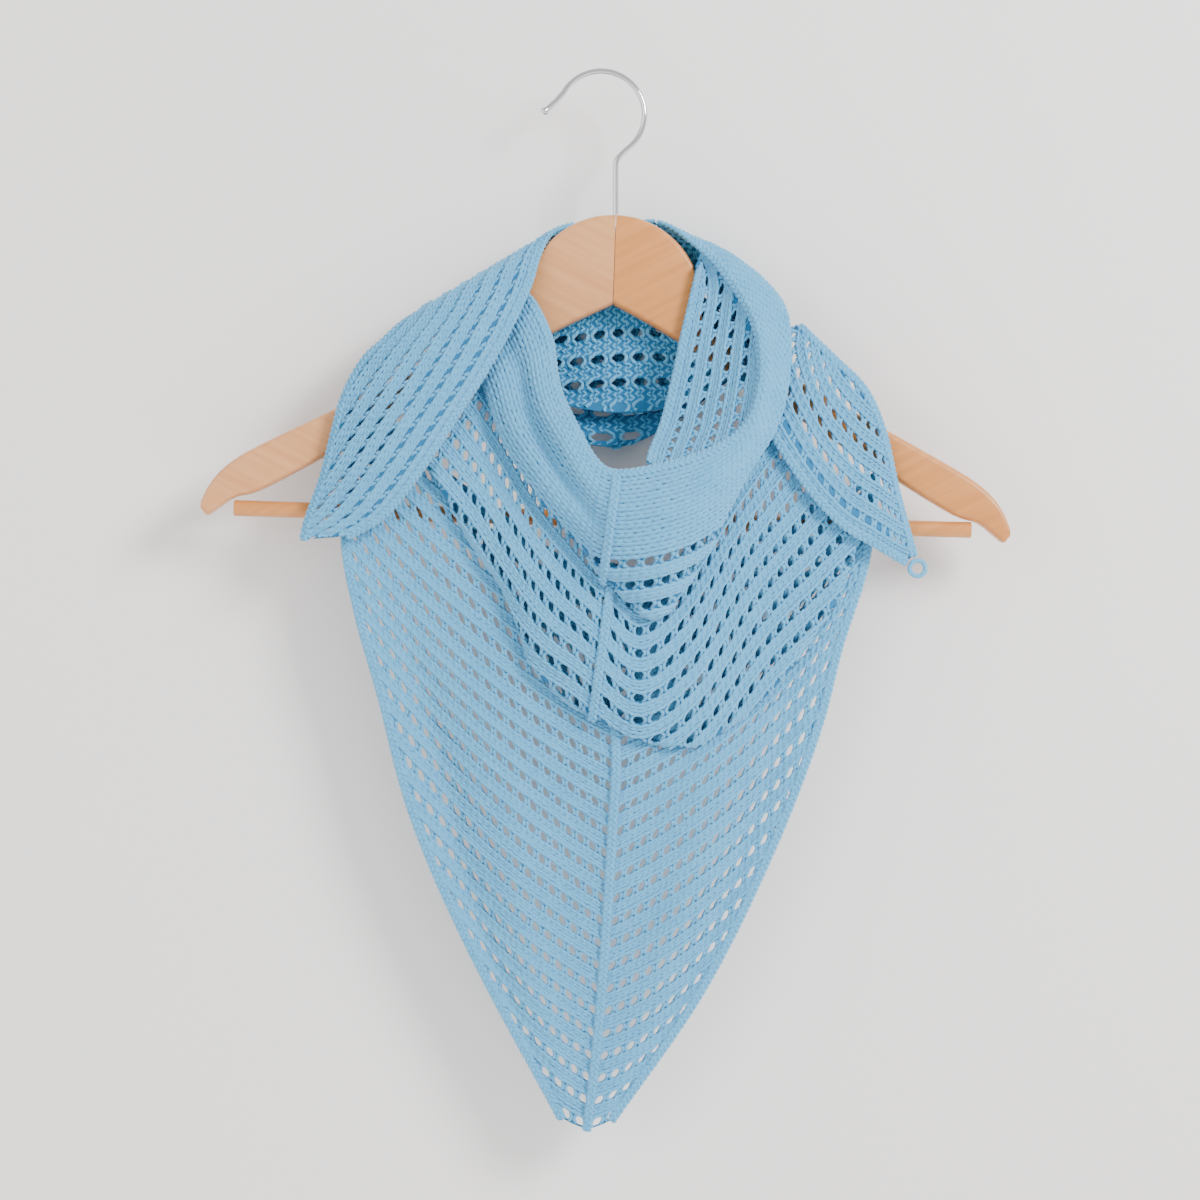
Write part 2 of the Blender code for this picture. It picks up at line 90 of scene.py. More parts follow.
BORDER = [
    Section(-43.5, -122.6, 10.4, -74.6, -155, 10.4, 1, 10, 0),
    Section(-37, -131, 16, -70, -164, 14, 3, 0, 2),
    Section(-29, -150, 24, -64, -180, 19, 5, 0, 4),
    Section(-25, -175, 33, -55, -206, 25.5, 7, 0, 7),
    Section(-16, -196, 42, -36, -238, 32, 8, 0, 8),
    Section(-4, -217, 48, -11, -266, 35, 8, 0, 4),
    Section(8, -223.5, 50, 1, -281, 36.8, 8, 0, 0),
    Section(32, -220, 50, 29, -303, 37, 9, 0, 0),
    Section(57, -212, 46, 54, -272, 33, 9, 0, 0),
    Section(77, -198, 40, 77, -228, 28.5, 8, 0, 0),
    Section(86, -172, 33, 95, -200, 25.5, 6, 5, 0),
    Section(84, -142, 25, 103, -172, 20.5, 5, 15, 0),
    Section(71, -116, 14, 104, -139, 11.5, 5, 40, 0),
    Section(53, -95, 3, 96, -128, -9, 8, 75, 0),
    Section(30, -82, -9, 80, -160, -15.5, 5, 120, 0),
    Section(6, -85, -15, 6, -206, -17, 3, 180, 0),
    Section(-8, -84, -13.5, -72, -165, -16, 3, 140, 0),
    Section(-15, -83, -10, -91, -129, -7, 1, 100, 0),
    Section(-29, -89, 0, -101, -133, 1, 0, 70, 0),
    Section(-36, -102, 10, -110, -139, 5, 3, 40, 0),
    Section(-41, -119, 18, -119, -148, 8, 6, 20, 0),
    Section(-52, -144, 26, -130, -159, 11, 7, 10, 0),
    Section(-66, -169, 28, -140, -178, 15.5, 7, 0, 0),
    Section(-81, -192, 28, -146, -199, 16, 6, 0, 0),
    Section(-98, -218, 27, -152, -223, 16, 5, 0, 0),
    Section(-118, -243, 24.5, -160, -246, 17, 3, 0, 0),
    Section(-139, -256, 21.5, -163, -258, 18, 1, 0, 0),
]
INNER_END = [
    Section(-44.5, -120, 9, -75, -151.4, 9, 0, 20, 0),
    Section(-46, -116.5, 0, -75, -145.8, 0, 0, 90, 0),
    Section(-44, -120, -9.5, -74, -151, -9.5, 0, 160, 0),
    Section(-26, -118, -9.7, -54, -173, -9.9, 1, 180, 0),
    Section(6, -110, -9.8, 6, -187, -10.2, 1, 180, 0),
    Section(34, -112, -9.8, 50, -180, -10.2, 1, 180, 0),
    Section(58, -126, -9.6, 88, -158, -9.8, 1, 150, 0),
    Section(68, -139.6, 0, 107, -142, -3, 0, 90, 0),
    Section(72, -149, 9.7, 110, -141, 1, 0, 40, 0),
    Section(83, -182, 19.6, 116, -147, 3.5, 2, 20, 0),
    Section(109, -224, 23.2, 127, -158, 7, 4, 10, 0),
    Section(130, -248, 23.4, 144, -176, 10.4, 4, 0, 0),
    Section(149, -260, 22.6, 154, -200, 13.7, 3, 0, 0),
    Section(160, -266.5, 21, 161, -232, 16, 2, 0, 0),
    Section(166, -270, 19.4, 170, -267, 18.4, 0, 0, 0),
]
SWAG = [
    Section(-74, -162, 11, -103, -203, 19.4, 1, 0, 0),
    Section(-63, -175, 12, -92, -224, 20.0, 2, 0, 0),
    Section(-50, -196, 15.5, -75, -257, 20.4, 5, 0, 0),
    Section(-32, -228, 22, -53, -291, 21.8, 8, 0, 0),
    Section(-14, -250, 26, -40, -327, 23, 8, 0, 0),
    Section(-5, -262, 28.5, -19, -349, 24.4, 8, 0, 0),
    Section(6, -272, 29.5, -5, -356, 25, 8, 0, 0),
    Section(21, -286, 29, 21, -369, 25, 7, 0, 0),
    Section(43, -266, 26, 54, -371, 23.5, 5, 0, 0),
    Section(71, -220, 21.5, 93, -341, 20.5, 2, 0, 0),
    Section(90, -191, 14.6, 126, -296, 18.9, 1, 0, 0),
    Section(99, -175, 11, 142, -257, 18.8, 0, 0, 0),
]
COLLAR_END, WRAP_OUTER_END, INNER_RIDGE = 14.0, 17.0, 7.0  # places where the nodes part
COLLAR_SPINE, SWAG_SPINE = 6.0, 6.0
SEAM, RIDGE_SEAM = 0.035, 0.13


class PanelRow(NamedTuple):
    """One level of the point: its spine, left edge and right edge (x, z, forward), sag and fold."""

    spine_x: float
    spine_z: float
    spine_f: float
    left_x: float
    left_z: float
    left_f: float
    right_x: float
    right_z: float
    right_f: float
    sag: float
    fold: float


PANEL = [
    PanelRow(4, -285, 16.5, -137, -178, 11.5, 149, -222, 11.1, 3, 0),
    PanelRow(8, -371, 20.5, -141, -252, 11.5, 144.5, -269, 11.6, 12, 1),
    PanelRow(6, -415, 19, -134, -296, 11.5, 130, -316, 11, 11, 3),
    PanelRow(4, -449, 17, -121, -343, 11, 117, -365, 10.5, 9, 4),
    PanelRow(1, -493, 14.5, -103, -410, 10.5, 91, -432, 10, 7, 3.5),
    PanelRow(-3, -540, 12, -71, -484, 9.5, 54, -506, 9, 5, 1.5),
    PanelRow(-8, -582, 9, -22, -576, 8.5, 5, -577, 8.5, 0.5, 0),
]


class RimFold(NamedTuple):
    """The rolled-in top border: the border's place it hangs from, and its own chain edge."""

    along: float
    x: float
    z: float
    forward: float


RIM_FOLD = [
    RimFold(13.0, 53, -108, 10.5),
    RimFold(12.2, 50, -125, 10.5),
    RimFold(11.4, 45, -148, 11.5),
    RimFold(10.5, 40, -172, 14.5),
    RimFold(9.4, 34, -195, 22),
    RimFold(8.2, 28, -210, 33),
    RimFold(7.3, 26, -218, 42),
]


class ArmSection(NamedTuple):
    """Across a hanger arm: how far out from the joint, and its top and bottom above the notch."""

    out: float
    top: float
    bottom: float


ARM_SECTIONS = [
    ArmSection(0.0, 48.5, -1.0),
    ArmSection(12.0, 47.0, -7.0),
    ArmSection(24.0, 42.1, -13.2),
    ArmSection(34.0, 34.6, -18.8),
    ArmSection(41.0, 26.0, -22.4),
    ArmSection(45.5, 16.5, -25.0),
    ArmSection(48.0, 3.0, -26.6),
    ArmSection(50.0, -9.0, -27.8),
    ArmSection(56.0, -15.2, -31.6),
    ArmSection(85.0, -30.2, -48.8),
    ArmSection(120.0, -48.0, -69.6),
    ArmSection(155.0, -66.3, -90.2),
    ArmSection(190.0, -84.8, -110.2),
    ArmSection(204.0, -93.2, -114.7),
    ArmSection(213.0, -101.0, -121.0),
    ArmSection(219.0, -109.5, -125.2),
    ArmSection(222.3, -117.0, -122.0),
]


def through(table: Sequence, places: np.ndarray) -> np.ndarray:
    """Reads a smooth curve through the table's rows.

    Args:
        table: rows of numbers.
        places: where to read, 0 at the first row, 1 at the second.

    Returns:
        The values, one row for each place. Each stretch is a cubic that leaves a row with the mean slope of
        its two neighbours.
    """
    rows = np.array(table, float)
    places = np.clip(np.asarray(places, float), 0, len(rows) - 1)
    first = np.minimum(places.astype(int), len(rows) - 2)
    part = (places - first)[..., None]
    before, after = rows[np.maximum(first - 1, 0)], rows[np.minimum(first + 2, len(rows) - 1)]
    start, end = rows[first], rows[first + 1]
    leave = np.where((first == 0)[..., None], end - start, (end - before) / 2)
    arrive = np.where((first == len(rows) - 2)[..., None], end - start, (after - start) / 2)
    return (
        start * (2 * part**3 - 3 * part**2 + 1)
        + leave * (part**3 - 2 * part**2 + part)
        + end * (3 * part**2 - 2 * part**3)
        + arrive * (part**3 - part**2)
    )


def place(x: np.ndarray, z: np.ndarray, forward: np.ndarray) -> np.ndarray:
    """Table values as points, in mm: x to the right, -forward into the wall, z up."""
    return np.stack([x, -forward, z], axis=-1)


def faces_way(lean: np.ndarray) -> np.ndarray:
    """The unit direction that cloth faces: 0 degrees is the viewer, 90 up, 180 the wall."""
    angle = np.radians(lean)
    return np.stack([np.zeros_like(angle), -np.cos(angle), np.sin(angle)], axis=-1)


def unit(vectors: np.ndarray) -> np.ndarray:
    """Each vector divided by its length."""
    return vectors / np.maximum(np.linalg.norm(vectors, axis=-1, keepdims=True), 1e-9)


def run_length(points: np.ndarray) -> np.ndarray:
    """Distance from the first point to each, along the first axis."""
    steps = np.linalg.norm(np.diff(points, axis=0), axis=-1)
    return np.concatenate([np.zeros_like(steps[:1]), np.cumsum(steps, axis=0)])


def strip_surface(table: Sequence[Section], along: np.ndarray, across: np.ndarray) -> np.ndarray:
    """The middle of a length of cloth: a line from its long edge to its other side, lifted by its crown
    (1 - |2t - 1| to a power) and lowered by its groove (a bell curve), the way the section leans."""
    row = through(table, along)
    edge = place(row[..., 0], row[..., 1], row[..., 2])
    far = place(row[..., 3], row[..., 4], row[..., 5])
    bulge = row[..., 6] * (1 - np.abs(2 * across - 1) ** CROSS_STEEPNESS)
    groove = row[..., 8] * np.exp(-(((across - GROOVE_AT) / GROOVE_WIDTH) ** 2))
    return edge + (far - edge) * across[..., None] + (bulge - groove)[..., None] * faces_way(row[..., 7])


def point_surface(side: int, down: np.ndarray, out: np.ndarray) -> np.ndarray:
    """Half of the point: a line from spine to edge, with one forward ridge and one trough (bell curves)
    and a sag of four times out times (1 - out)."""
    row = through(PANEL, down)
    first = 3 if side < 0 else 6
    spine = place(row[..., 0], row[..., 1], row[..., 2])
    edge = place(row[..., first], row[..., first + 1], row[..., first + 2])
    point = spine + (edge - spine) * out[..., None]
    ridge = np.exp(-(((out - RIDGE_AT) / RIDGE_WIDTH) ** 2))
    trough = np.exp(-(((out - TROUGH_AT) / TROUGH_WIDTH) ** 2))
    point[..., 0] += side * SPINE_GAP * (1 - out)
    point[..., 1] -= row[..., 10] * (ridge - trough)
    point[..., 2] -= row[..., 9] * 4 * out * (1 - out)
    return point


def rim_fold_surface(along: np.ndarray, across: np.ndarray) -> np.ndarray:
    """The rolled-in border: from its chain edge to just behind the collar's rim, its middle sunk back by
    half a sine wave."""
    row = through(RIM_FOLD, along)
    chain = place(row[..., 1], row[..., 2], row[..., 3])
    rim = strip_surface(BORDER, row[..., 0], np.zeros_like(row[..., 0]))
    hung = rim - RIM_FOLD_HANG * faces_way(through(BORDER, row[..., 0])[..., 7])
    point = chain + (hung - chain) * across[..., None]
    point[..., 1] += RIM_FOLD_SINK * np.sin(math.pi * across)
    return point


class Chart:
    """A piece of cloth unrolled flat: b mm along its ribs and a mm across them.

    Args:
        surface: gives points in mm from the table's own two coordinates.
        start: the first place along.
        end: the last place along.
        facing: gives the way the right side faces at each place along.
    """

    STEPS, ACROSS_STEPS = 500, 25
    EPSILON = 0.4

    def __init__(self, surface: Callable, start: float, end: float, facing: Callable) -> None:
        self.surface, self.facing = surface, facing
        self.fine = np.linspace(start, end, self.STEPS)
        self.run = run_length(surface(self.fine, np.full_like(self.fine, 0.5)))
        rows, columns = np.meshgrid(np.linspace(0, 1, self.ACROSS_STEPS), self.fine, indexing="ij")
        self.widths = run_length(surface(columns, rows))[-1]
        self.length = float(self.run[-1])
        self.width = float(self.widths.max())
        self.sign = 1.0
        middle_b, middle_a = np.array([self.length * 0.5]), np.array([self.widths[self.STEPS // 2] * 0.5])
        self.sign = float(np.sign((self.normal(middle_b, middle_a) * self.way(middle_b, middle_a)).sum()))

    def own(self, b: np.ndarray, a: np.ndarray) -> tuple[np.ndarray, np.ndarray]:
        """The table's own coordinates of a flat place."""
        return np.interp(b, self.run, self.fine), a / np.interp(b, self.run, self.widths)

    def limit(self, b: np.ndarray, a: np.ndarray) -> tuple[np.ndarray, np.ndarray]:
        """The flat place, brought back inside the cloth's outline."""
        b = np.clip(b, 0, self.length)
        return b, np.clip(a, 0, np.interp(b, self.run, self.widths))

    def inside(self, b: np.ndarray, a: np.ndarray) -> np.ndarray:
        """Whether a flat place is on the cloth."""
        return (b >= 0) & (b <= self.length) & (a <= np.interp(b, self.run, self.widths))

    def edge_distance(self, b: np.ndarray, a: np.ndarray) -> np.ndarray:
        """Distance in mm from a flat place to the cloth's far side."""
        return np.interp(b, self.run, self.widths) - a

    def way(self, b: np.ndarray, a: np.ndarray) -> np.ndarray:
        """The way the right side faces, roughly."""
        return self.facing(self.own(b, a)[0])

    def point(self, b: np.ndarray, a: np.ndarray) -> np.ndarray:
        """The place in space, in mm."""
        return self.surface(*self.own(*self.limit(b, a)))

    def normal(self, b: np.ndarray, a: np.ndarray) -> np.ndarray:
        """The unit normal on the right side, from points a little to each side."""
        step = self.EPSILON
        b = np.clip(b, step, self.length - step)
        along = self.point(b + step, a) - self.point(b - step, a)
        across = self.point(b, a + step) - self.point(b, a - step)
        return unit(np.cross(along, across)) * self.sign

    def area(self) -> float:
        """Area in square mm: the sum over a grid of half the cross product of each cell's diagonals."""
        across = np.linspace(0, 1, self.ACROSS_STEPS)
        rows, columns = np.meshgrid(across, self.fine, indexing="ij")
        grid = self.grid(columns, rows)
        first, second = grid[1:, 1:] - grid[:-1, :-1], grid[1:, :-1] - grid[:-1, 1:]
        return float(np.linalg.norm(np.cross(first, second), axis=-1).sum() / 2)

    def grid(self, along: np.ndarray, across: np.ndarray) -> np.ndarray:
        """Points from the table's own two coordinates."""
        return self.surface(along, across)


class PointChart(Chart):
    """Half of the shawl's point unrolled: a mm down its spine, b mm out from the spine along a rib."""

    def __init__(self, side: int) -> None:
        self.side = side
        self.fine = np.linspace(0, len(PANEL) - 1, self.STEPS)
        self.run = run_length(point_surface(side, self.fine, np.zeros_like(self.fine)))
        rows, columns = np.meshgrid(np.linspace(0, 1, self.ACROSS_STEPS), self.fine, indexing="ij")
        self.widths = run_length(point_surface(side, columns, rows))[-1]
        self.length = float(self.widths.max())
        self.width = float(self.run[-1])
        self.sign = 1.0
        middle = np.array([60.0]), np.array([self.width * 0.4])
        self.sign = float(np.sign((self.normal(*middle) * self.way(*middle)).sum()))

    def grid(self, along: np.ndarray, across: np.ndarray) -> np.ndarray:
        return point_surface(self.side, along, across)

    def own(self, b: np.ndarray, a: np.ndarray) -> tuple[np.ndarray, np.ndarray]:
        return np.interp(a, self.run, self.fine), b / np.interp(a, self.run, self.widths)

    def limit(self, b: np.ndarray, a: np.ndarray) -> tuple[np.ndarray, np.ndarray]:
        a = np.clip(a, 0, self.width)
        return np.clip(b, 0, np.interp(a, self.run, self.widths)), a

    def inside(self, b: np.ndarray, a: np.ndarray) -> np.ndarray:
        return (a >= 0) & (a <= self.width) & (b <= np.interp(a, self.run, self.widths))

    def edge_distance(self, b: np.ndarray, a: np.ndarray) -> np.ndarray:
        return np.interp(a, self.run, self.widths) - b

    def way(self, b: np.ndarray, a: np.ndarray) -> np.ndarray:
        return faces_way(np.zeros_like(b))

    def point(self, b: np.ndarray, a: np.ndarray) -> np.ndarray:
        return point_surface(self.side, *self.own(*self.limit(b, a)))

    def normal(self, b: np.ndarray, a: np.ndarray) -> np.ndarray:
        step = self.EPSILON
        a = np.clip(a, step, self.width - step)
        b = np.clip(b, 0, np.maximum(self.edge_distance(0 * b, a) - step, 0))
        along = self.point(b + step, a) - self.point(b - step, a)
        across = self.point(b, a + step) - self.point(b, a - step)
        return unit(np.cross(along, across)) * self.sign


class Stitch(Enum):
    """What one strip across the ribs is made of."""

    RIB = "rib"
    LADDER = "ladder"


@dataclass(frozen=True)
class Knit:
    """Sizes of the stitches, in mm.

    A rib is a line of nested loops that reads as a braid. A ladder is the open strip between two pairs of
    ribs, crossed by strands that are twisted in pairs.
    """

    rib: float = 3.7
    ladder: float = 5.0
    ribs_between: int = 2
    pitch: float = 4.3
    plain_rib: float = 5.0
    plain_until: float = 0.0
    yarn: float = 1.02
    loop_reach: float = 0.86  # of the pitch, each way along the rib
    loop_lean: float = 0.2  # of the rib's width, how far the loop's legs spread
    loop_depth: float = 0.85
    relief: float = 0.7  # how far the ribs stand out between ladders
    open_from: float = 0.0  # share of the width from which ladders are open right through
    roll: float = 0.0  # how far the far side's last few mm turn back

    def strips(self, width: float) -> list[tuple[Stitch, float, float]]:
        """The strips from the long edge to the far side, each (kind, start, width)."""
        found, at, ribs = [], 0.0, 0
        while at < width:
            if at < self.plain_until:
                found.append((Stitch.RIB, at, self.plain_rib))
                ribs = self.ribs_between
            elif ribs < self.ribs_between:
                found.append((Stitch.RIB, at, self.rib))
                ribs += 1
            else:
                found.append((Stitch.LADDER, at, self.ladder))
                ribs = 0
            at += found[-1][2]
        return found


def joined(points: np.ndarray, faces: np.ndarray, *values: np.ndarray) -> tuple:
    """Points, faces and values for each point, without the points that no face uses."""
    used, index = np.unique(faces, return_inverse=True)
    return (points[used], index.reshape(faces.shape), *[value[used] for value in values])


@dataclass
class Tubes:
    """Round yarns or wires through rows of points.

    Args:
        points: centres in mm, (yarns, places, 3).
        normals: a direction across each yarn, the same shape.
        radius: in mm, one value or one for each place.
        sides: faces round the yarn.
        valid: where the yarn is there, (yarns, places).
    """

    points: np.ndarray
    normals: np.ndarray
    radius: np.ndarray | float
    sides: int = 5
    valid: Optional[np.ndarray] = None

    def mesh(self) -> tuple[np.ndarray, np.ndarray, np.ndarray]:
        """Rings round each centre, joined by quads.

        Returns:
            Points, quads, and for each corner of each quad the length along the yarn in mm and the turn round
            it from 0 to 1. A ring is the centre plus the radius times the cosine of the angle along the
            normal and its sine across it.
        """
        yarns, places, _ = self.points.shape
        valid = np.ones((yarns, places), bool) if self.valid is None else self.valid
        tangent = unit(np.gradient(self.points, axis=1))
        up = unit(self.normals - (self.normals * tangent).sum(-1, keepdims=True) * tangent)
        side = np.cross(tangent, up)
        angle = 2 * math.pi * np.arange(self.sides) / self.sides
        radius = np.broadcast_to(np.asarray(self.radius, float), (yarns, places))[..., None, None]
        rings = self.points[:, :, None] + radius * (
            np.cos(angle)[:, None] * up[:, :, None] + np.sin(angle)[:, None] * side[:, :, None]
        )
        steps = np.linalg.norm(np.diff(self.points, axis=1), axis=-1)
        run = np.concatenate([np.zeros((yarns, 1)), np.cumsum(steps, axis=1)], axis=1)
        index = np.arange(yarns * places * self.sides).reshape(yarns, places, self.sides)
        after = np.roll(index, -1, axis=2)
        quads = np.stack([index[:, :-1], after[:, :-1], after[:, 1:], index[:, 1:]], axis=-1)
        around = np.stack([np.arange(self.sides), np.arange(1, self.sides + 1)], axis=-1)
        turn = around[:, [0, 1, 1, 0]] / self.sides
        here, there = run[:, :-1, None], run[:, 1:, None]
        length = np.stack([here, here, there, there], axis=-1) + np.zeros(quads.shape)
        keep = valid[:, :-1] & valid[:, 1:]
        corner = np.stack([length, np.broadcast_to(turn, quads.shape)], axis=-1)[keep].reshape(-1, 2)
        points, faces = joined(rings.reshape(-1, 3), quads[keep].reshape(-1, 4))
        return points, faces, corner


def linear(colour: str) -> tuple[float, float, float, float]:
    """An sRGB hex colour as the linear values that a shader takes."""
    parts = [int(colour[k : k + 2], 16) / 255 for k in (1, 3, 5)]
    return (*[c / 12.92 if c <= 0.04045 else ((c + 0.055) / 1.055) ** 2.4 for c in parts], 1.0)


def node(
    tree: bpy.types.NodeTree, kind: str, links: Optional[dict] = None, **values: object
) -> bpy.types.Node:
    """Adds a shader node.

    Args:
        tree: the material's node tree.
        kind: the node's type.
        links: input name or number to the output that feeds it.
        values: input values by name with _ for a space, or the node's own settings.

    Returns:
        The node.
    """
    made = tree.nodes.new(kind)
    for name, value in values.items():
        label = name.replace("_", " ")
        if label in made.inputs:
            made.inputs[label].default_value = value
        else:
            setattr(made, name, value)
    for name, output in (links or {}).items():
        tree.links.new(output, made.inputs[name])
    return made


@dataclass(frozen=True)
class YarnFinish:
    """Two-ply unmercerised cotton: a matt yarn with a faint fuzz, so a soft edge light and no sharp shine,
    and two plies that wind round each other as a slanting groove."""

    name: str
    colour: str
    shade: str
    ply_mm: float = 3.2
    mottle_per_m: float = 90.0
    fuzz_per_m: float = 1500.0
    groove_m: float = 0.00022
    roughness: float = 0.82

    def made(self) -> bpy.types.Material:
        """The material. The groove is the sine of the length along the yarn plus twice the turn round it."""
        made = bpy.data.materials.new(self.name)
        made.use_nodes = True
        tree = made.node_tree
        shader = tree.nodes["Principled BSDF"]
        shader.inputs["Roughness"].default_value = self.roughness
        shader.inputs["Specular IOR Level"].default_value = 0.25
        shader.inputs["Sheen Weight"].default_value = 0.35
        shader.inputs["Sheen Roughness"].default_value = 0.5
        place_node = node(tree, "ShaderNodeTexCoord")
        where = {"Vector": place_node.outputs["Object"]}
        mottle = node(tree, "ShaderNodeTexNoise", where, Scale=self.mottle_per_m, Detail=3.0)
        tint = node(tree, "ShaderNodeMix", {0: mottle.outputs["Fac"]}, data_type="RGBA")
        tint.inputs[6].default_value = linear(self.colour)
        tint.inputs[7].default_value = linear(self.shade)
        yarn = node(tree, "ShaderNodeUVMap", uv_map="yarn")
        parts = node(tree, "ShaderNodeSeparateXYZ", {0: yarn.outputs[0]})
        length = node(tree, "ShaderNodeMath", {0: parts.outputs[0]}, operation="MULTIPLY")
        length.inputs[1].default_value = 2 * math.pi / self.ply_mm
        turn = node(tree, "ShaderNodeMath", {0: parts.outputs[1]}, operation="MULTIPLY")
        turn.inputs[1].default_value = 4 * math.pi
        both = node(tree, "ShaderNodeMath", {0: length.outputs[0], 1: turn.outputs[0]}, operation="ADD")
        wave = node(tree, "ShaderNodeMath", {0: both.outputs[0]}, operation="SINE")
        fuzz = node(tree, "ShaderNodeTexNoise", where, Scale=self.fuzz_per_m, Detail=2.0)
        height = node(tree, "ShaderNodeMath", {0: wave.outputs[0], 1: fuzz.outputs["Fac"]}, operation="ADD")
        bump = node(tree, "ShaderNodeBump", {"Height": height.outputs[0]}, Distance=self.groove_m)
        bump.inputs["Strength"].default_value = 0.6
        tree.links.new(tint.outputs[2], shader.inputs["Base Color"])
        tree.links.new(bump.outputs[0], shader.inputs["Normal"])
        return made


@dataclass(frozen=True)
class WoodFinish:
    """Steam-bent beech under clear satin varnish: warm tan with fine darker streaks along the arm, and a thin
    coat that gives a soft highlight."""

    name: str
    colour: str
    streak: str
    slope_deg: float

    def made(self) -> bpy.types.Material:
        """The material: noise in object coordinates, turned along the arm and drawn out fifteen times."""
        made = bpy.data.materials.new(self.name)
        made.use_nodes = True
        tree = made.node_tree
        shader = tree.nodes["Principled BSDF"]
        shader.inputs["Roughness"].default_value = 0.42
        shader.inputs["Coat Weight"].default_value = 0.35
        shader.inputs["Coat Roughness"].default_value = 0.22
        where = node(tree, "ShaderNodeTexCoord")
        turned = node(tree, "ShaderNodeMapping", {"Vector": where.outputs["Object"]})
        turned.inputs["Rotation"].default_value = (0, math.radians(self.slope_deg), 0)
        drawn = node(tree, "ShaderNodeMapping", {"Vector": turned.outputs[0]})
        drawn.inputs["Scale"].default_value = (14, 220, 260)
        grain = node(tree, "ShaderNodeTexNoise", {"Vector": drawn.outputs[0]}, Scale=1.0, Detail=4.0)
        share = node(
            tree, "ShaderNodeMapRange", {"Value": grain.outputs["Fac"]}, From_Min=0.35, From_Max=0.8
        )
        tint = node(tree, "ShaderNodeMix", {0: share.outputs[0]}, data_type="RGBA")
        tint.inputs[6].default_value = linear(self.colour)
        tint.inputs[7].default_value = linear(self.streak)
        tree.links.new(tint.outputs[2], shader.inputs["Base Color"])
        return made


@dataclass(frozen=True)
class PlainFinish:
    """One even finish, such as polished chrome plating: a mirror with a trace of haze."""

    name: str
    colour: str
    roughness: float
    metallic: float = 0.0

    def made(self) -> bpy.types.Material:
        """The material, from values set on the shader."""
        made = bpy.data.materials.new(self.name)
        made.use_nodes = True
        shader = made.node_tree.nodes["Principled BSDF"]
        shader.inputs["Base Color"].default_value = linear(self.colour)
        shader.inputs["Roughness"].default_value = self.roughness
        shader.inputs["Metallic"].default_value = self.metallic
        return made


def mesh_object(
    name: str,
    points: np.ndarray,
    groups: Sequence[np.ndarray],
    finish: bpy.types.Material,
    corners: Optional[np.ndarray] = None,
) -> bpy.types.Object:
    """Makes a smooth object.

    Args:
        name: of the object.
        points: in mm.
        groups: arrays of faces, each array with one number of corners.
        finish: its material.
        corners: two values for each face corner, kept as a UV map named yarn.

    Returns:
        The object, at the origin.
    """
    mesh = bpy.data.meshes.new(name)
    mesh.vertices.add(len(points))
    mesh.vertices.foreach_set("co", (points * MM).astype(np.float32).ravel())
    counts = np.concatenate([np.full(len(faces), faces.shape[1]) for faces in groups])
    mesh.loops.add(int(counts.sum()))
    order = np.concatenate([faces.ravel() for faces in groups])
    mesh.loops.foreach_set("vertex_index", order.astype(np.int32))
    mesh.polygons.add(len(counts))
    mesh.polygons.foreach_set("loop_start", (np.cumsum(counts) - counts).astype(np.int32))
    mesh.update(calc_edges=True)
    mesh.validate()
    mesh.shade_smooth()
    if corners is not None:
        layer = mesh.uv_layers.new(name="yarn")
        layer.data.foreach_set("uv", corners.astype(np.float32).ravel())
    mesh.materials.append(finish)
    made = bpy.data.objects.new(name, mesh)
    bpy.context.scene.collection.objects.link(made)
    return made


def attach(piece: bpy.types.Object, slot: str, *nodes: str) -> bpy.types.Object:
    """Puts a piece on the one body, hides the imported nodes it stands for and logs its face count."""
    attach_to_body(piece, "root")
    if nodes:
        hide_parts(*nodes)
    LOG.info("%s: %d faces", piece.name, len(piece.data.polygons))
    return piece


